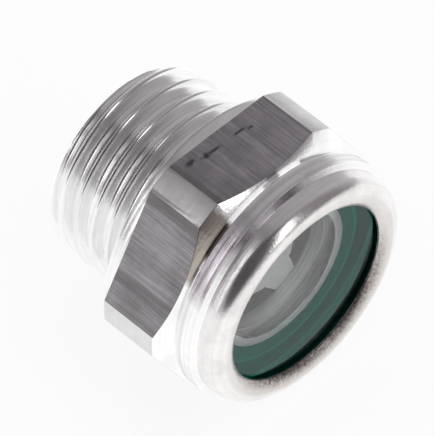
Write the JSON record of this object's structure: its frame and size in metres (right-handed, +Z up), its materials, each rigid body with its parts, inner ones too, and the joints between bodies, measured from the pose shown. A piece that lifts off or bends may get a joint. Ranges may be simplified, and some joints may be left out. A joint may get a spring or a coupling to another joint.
{
  "type": "oil level sight glass",
  "caption": "Hexagonal aluminium screw plug with a pipe thread, a rubber-sealed clear glass window under a rolled lip and a small reflector behind it.",
  "frame": {"origin": "centre of the sealing face behind the hexagon, on the axis of the thread", "axes": "+Y along the thread and away from the glass; +Z up, square to one flat of the hexagon; the plug lies on the opposite flat, as it would on a bench"},
  "size_m": [0.0186, 0.0162, 0.017],
  "materials": {
    "body": "turned and drawn, bare",
    "glass_disc": "clear, polished",
    "glass_seal": "dark green, moulded",
    "reflector": "pale, matt pressed sheet"
  },
  "bodies": {
    "root": {"body": "body", "glass_disc": "glass_disc", "glass_seal": "glass_seal", "reflector": "reflector"}
  },
  "joints": []
}
